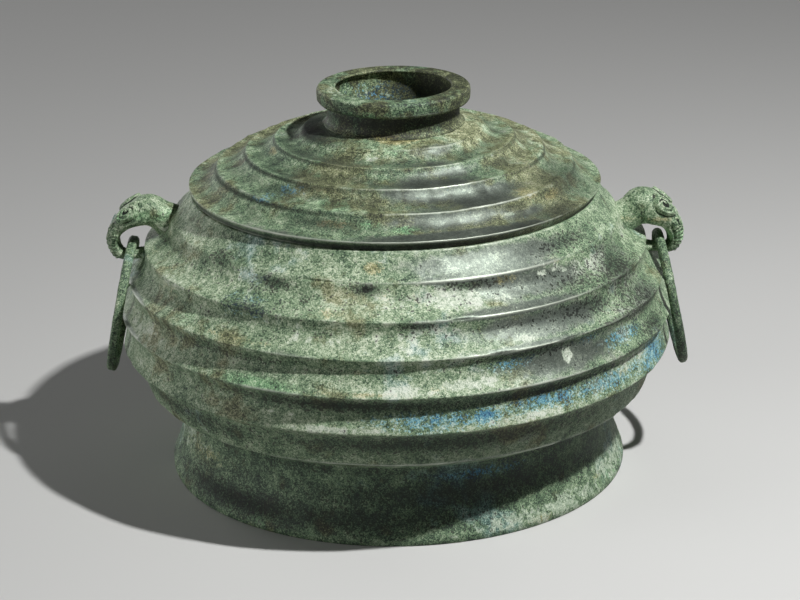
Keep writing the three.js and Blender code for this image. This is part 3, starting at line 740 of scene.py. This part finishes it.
def loopSkin(size, places, angles, lift=0.0):  # points on the swept body, angle 0 on its outer side
    places, angles = np.broadcast_arrays(np.asarray(places, float), np.asarray(angles, float))
    run = along(size["stations"], places)
    near = 0.02  # stations either side, for the direction
    ahead = (along(size["stations"], places + near) - along(size["stations"], places - near))[:, :2]
    ahead /= np.linalg.norm(ahead, axis=1)[:, None]
    power = 2 / size["squareness"]
    over = np.sign(np.cos(angles)) * np.abs(np.cos(angles)) ** power * (run[:, 2] / 2 + lift)
    beside = np.sign(np.sin(angles)) * np.abs(np.sin(angles)) ** power * (run[:, 3] / 2 + lift)
    return np.stack([run[:, 0] - ahead[:, 1] * over, beside, run[:, 1] + ahead[:, 0] * over], 1)


def skinned(sections):  # closed skin over rows of section points
    coords = np.concatenate(sections)
    end = np.arange(len(sections[0]))
    faces = bandFaces(len(sections), len(end), closed=False)
    return coords, faces + [end.tolist(), (len(coords) - 1 - end).tolist()]


def cord(path, radii, sides=8):  # round rod along any path
    path = np.array(path)
    ahead = np.gradient(path, axis=0)
    hint = np.array([0.31, 0.17, 0.94])  # a direction that no cord runs in
    angles = np.arange(sides) * 2 * math.pi / sides
    sections = []
    for point, direction, radius in zip(path, ahead, np.broadcast_to(radii, len(path))):
        one = np.cross(direction, hint)
        one /= np.linalg.norm(one)
        two = np.cross(direction, one)
        two /= np.linalg.norm(two)
        sections.append(point + radius * (np.outer(np.cos(angles), one) + np.outer(np.sin(angles), two)))
    return skinned(sections)


def bead(centre, radius):
    rise = np.array([-1, -0.8, -0.3, 0.3, 0.8, 1])
    path = [centre + np.array([0, 0, radius]) * r for r in rise]
    return cord(path, radius * np.sqrt(np.maximum(1 - rise ** 2, 0.01)))


def loopParts(size, side):
    rows = np.linspace(0, len(size["stations"]) - 1, size["sections"])
    angles = np.arange(size["sides"]) * 2 * math.pi / size["sides"]
    parts = [skinned([loopSkin(size, row, angles) for row in rows])]
    stationGap, halfGirth = size["stationGap"], size["halfGirth"]
    curlPoints, browPoints, eyePoints = 90, 14, 20

    def curl(cheek, turns, spreads, lift, radius):  # spiral on the cheek, from the outside in
        spread = np.linspace(*spreads, curlPoints)
        turn = size["hornStart"] - np.linspace(0, 1, curlPoints) * turns * 2 * math.pi
        places = size["hornAt"][side] + size["hornLong"] / stationGap * spread * np.cos(turn)
        across = size["hornTurned"][side] - size["hornHigh"] / halfGirth * spread * np.sin(turn)
        return cord(loopSkin(size, places, cheek * across, lift), radius)

    for cheek in (-1, 1):
        hornLift = np.linspace(*size["hornLift"], curlPoints)
        ground = size["groundSpread"], size["groundLift"], size["groundCord"]
        parts.append(curl(cheek, size["groundTurns"], *ground))
        parts.append(curl(cheek, size["hornTurns"], size["hornSpread"], hornLift, size["hornCord"]))
        places = np.linspace(size["browFrom"], size["browTo"], browPoints)
        brow = loopSkin(size, places, cheek * size["browTurned"], size["browLift"])
        parts.append(cord(brow, size["browCord"]))
        ringTurn = np.linspace(0, 2 * math.pi, eyePoints)
        places = size["eyeAt"] + size["eyeRing"] / stationGap * np.cos(ringTurn)
        across = size["eyeTurned"] + size["eyeRing"] / halfGirth * np.sin(ringTurn)
        parts.append(cord(loopSkin(size, places, cheek * across, size["eyeLift"]), size["eyeCord"]))
        parts.append(bead(loopSkin(size, [size["eyeAt"]], [cheek * size["eyeTurned"]])[0], size["eyeball"]))
    for row, place in enumerate(np.linspace(size["beadFrom"], size["beadTo"], size["beadRows"])):
        across = np.linspace(-1, 1, size["beadsAcross"] - row % 2) * size["beadSpread"]
        for spot in loopSkin(size, place, across, -size["beadSink"]):
            parts.append(bead(spot, size["beadRadius"]))
    return parts


def fused(name, parts, size):  # one skin round all the parts
    coords, faces = [], []
    for points, polygons in parts:
        faces += [[corner + len(coords) for corner in polygon] for polygon in polygons]
        coords += list(points)
    piece = makePiece(name, np.array(coords), faces)
    skin = piece.modifiers.new("skin", "REMESH")
    skin.mode, skin.voxel_size = "VOXEL", size["voxel"] / 1000
    soft = piece.modifiers.new("soft", "SMOOTH")
    soft.factor, soft.iterations = size["softFactor"], size["softSteps"]
    whole = bpy.data.meshes.new_from_object(piece.evaluated_get(bpy.context.evaluated_depsgraph_get()))
    piece.modifiers.clear()
    piece.data = whole
    whole.name = name
    whole.shade_smooth()
    return piece


def trimmedLoop(size, side):  # takes a little off the outside and the inside of some stations
    stations = [list(station) for station in size["stations"]]
    for index, (outside, inside) in size["trims"][side].items():
        run = np.subtract(size["stations"][index + 1][:2], size["stations"][index - 1][:2])
        run /= np.linalg.norm(run)
        stations[index][0] -= run[1] * (inside - outside) / 2
        stations[index][1] += run[0] * (inside - outside) / 2
        stations[index][2] -= inside + outside
    return size | {"stations": stations}


loopMetal = buriedBronze("cast bronze, pale malachite patina", patina | loop["look"])
for side, turn in (("right", 1), ("left", -1)):
    placed = [(points * [turn, turn, 1] + [turn * loop["wallRadius"], 0, loop["height"]], polygons)
              for points, polygons in loopParts(trimmedLoop(loop, side), side)]
    piece = fused(f"beast_loop_{side}", placed, loop)
    finishPiece(piece, loop, 1, f"handle_{side}", "vessel", loopMetal)


# rings: hung from the joint, leaning as the frame has them

ring = {
    "around": 160, "sides": 22, "groove": 0.45, "grooveWidth": 0.4,
    "wear": {"sway": 0.25, "swaySize": 22, "lumps": 0.12, "lumpSize": 4, "crust": 0.12, "crustSize": 2.4,
             "chips": 0, "chipSize": 6, "edgeFull": 0.15},
    "hollowFull": 0.5,
    "look": {"toneHigh": 0.66},
    "patches": {
        "malachite": [(90, 90, 10, 14, 0.4)],
        "ochre": [(-90, 90, 6, 8, 0.4)],
        "pale": [(90, 70, 40, 30, 0.2), (-90, 70, 40, 30, 0.4)],
        "hollow": [(90, 66, 60, 24, 0.5), (-90, 56, 60, 12, 0.4)],
    },
}
ringMetal = buriedBronze("cast bronze, rubbed malachite patina", patina | ring["look"])


def ringMesh(size, node, pivot, grooved):
    low, high = boxMm(node)
    centre = (low + high) / 2
    reach = np.linalg.norm(centre - pivot)
    wire = (high[1] - low[1]) / 2 - reach
    hang = (centre - pivot) / reach
    across = np.array([0, 1, 0])
    face = np.cross(hang, across)
    angle = np.arange(size["sides"]) * 2 * math.pi / size["sides"]
    radius = np.full(size["sides"], wire)
    if grooved:  # along the outer side of the wire
        radius = wire - size["groove"] * np.exp(-(np.sin(angle / 2) * 2 / size["grooveWidth"]) ** 2)
    rows = []
    for turn in np.arange(size["around"]) * 2 * math.pi / size["around"]:
        outward = math.cos(turn) * hang + math.sin(turn) * across
        middle = centre + outward * reach
        out, aside = np.outer(radius * np.cos(angle), outward), np.outer(radius * np.sin(angle), face)
        rows.append(middle + out + aside)
    return np.concatenate(rows), bandFaces(size["around"], size["sides"], closed=True)


for joint in frame["joints"]:
    if joint["type"] != "hinge":
        continue
    side = "right" if joint["pos_m"][0] > 0 else "left"
    pivot = np.array(joint["pos_m"]) * 1000
    piece = makePiece(f"free_ring_{side}", *ringMesh(ring, f"ring_{side}", pivot, grooved=side == "left"))
    finishPiece(piece, ring, 1, f"ring_{side}", joint["child"], ringMetal)


# studio

studio = {
    "aim": (0.0016, 0, 0.073), "distance": 1.0816, "elevation": 20.05, "roll": -0.8,
    "lens": 108, "sensor": 36,
    "lamps": {  # towards the lamp, distance, width, height, power
        "key": ((0.44, -0.35, 0.827), 1.0, 0.036, 0.036, 11),
        "left fill": ((-0.96, -0.22, 0.17), 4.2, 2.1, 1.2, 50),
        "back fill": ((-0.59, 0.79, 0.17), 4.2, 2.3, 1.2, 38),
        "far fill": ((0.62, 0.77, 0.17), 4.2, 2.3, 1.2, 16),
    },
    "world": "#2f2f30", "backdrop": "#9c9c9b",
    "floor": "#cfcfcd", "floorBounce": "#767675", "floorRough": 0.9, "floorHalf": 4,
}


def makeStudio(setup):
    # matt grey paper: flat and pale, and it sends only a little light back up under the object
    material = bpy.data.materials.new("matt paper sweep")
    material.use_nodes = True
    tree = material.node_tree
    shader = tree.nodes["Principled BSDF"]
    shader.inputs["Roughness"].default_value = setup["floorRough"]
    path = addNode(tree, "ShaderNodeLightPath").outputs
    rays = {0: path["Is Camera Ray"], 1: path["Is Glossy Ray"]}
    seen = addNode(tree, "ShaderNodeMath", {"operation": "MAXIMUM"}, rays)
    shades = {"data_type": "RGBA", 6: linear(setup["floorBounce"]), 7: linear(setup["floor"])}
    paper = addNode(tree, "ShaderNodeMix", shades, {0: seen.outputs[0]})
    tree.links.new(paper.outputs[2], shader.inputs["Base Color"])
    half = setup["floorHalf"]
    corners = [(-half, -half, 0), (half, -half, 0), (half, half, 0), (-half, half, 0)]
    mesh = bpy.data.meshes.new("floor")
    mesh.from_pydata(corners, [], [(0, 1, 2, 3)])
    mesh.materials.append(material)
    floor = bpy.data.objects.new("floor", mesh)
    bpy.context.scene.collection.objects.link(floor)

    world = bpy.data.worlds.new("studio")
    bpy.context.scene.world = world
    world.use_nodes = True
    tree = world.node_tree
    path = addNode(tree, "ShaderNodeLightPath").outputs
    shades = {"data_type": "RGBA", 6: linear(setup["world"]), 7: linear(setup["backdrop"])}
    air = addNode(tree, "ShaderNodeMix", shades, {0: path["Is Camera Ray"]})
    tree.links.new(air.outputs[2], tree.nodes["Background"].inputs["Color"])

    aim = np.array(setup["aim"])
    for name, (towards, distance, width, height, power) in setup["lamps"].items():
        lamp = bpy.data.lights.new(name, "AREA")
        lamp.shape, lamp.energy, lamp.size, lamp.size_y = "RECTANGLE", power, width, height
        stand = bpy.data.objects.new(name, lamp)
        stand.location = aim + np.array(towards) * distance
        stand.rotation_euler = (-Vector(towards)).to_track_quat("-Z", "Y").to_euler()
        bpy.context.scene.collection.objects.link(stand)

    lens = bpy.data.cameras.new("camera")
    lens.lens, lens.sensor_width = setup["lens"], setup["sensor"]
    camera = bpy.data.objects.new("camera", lens)
    rise = math.radians(setup["elevation"])
    camera.location = aim + setup["distance"] * np.array([0, -math.cos(rise), math.sin(rise)])
    camera.rotation_euler = (math.pi / 2 - rise, 0, 0)
    camera.rotation_euler.rotate_axis("Z", math.radians(setup["roll"]))
    bpy.context.scene.collection.objects.link(camera)
    bpy.context.scene.camera = camera
    print("studio set")


makeStudio(studio)
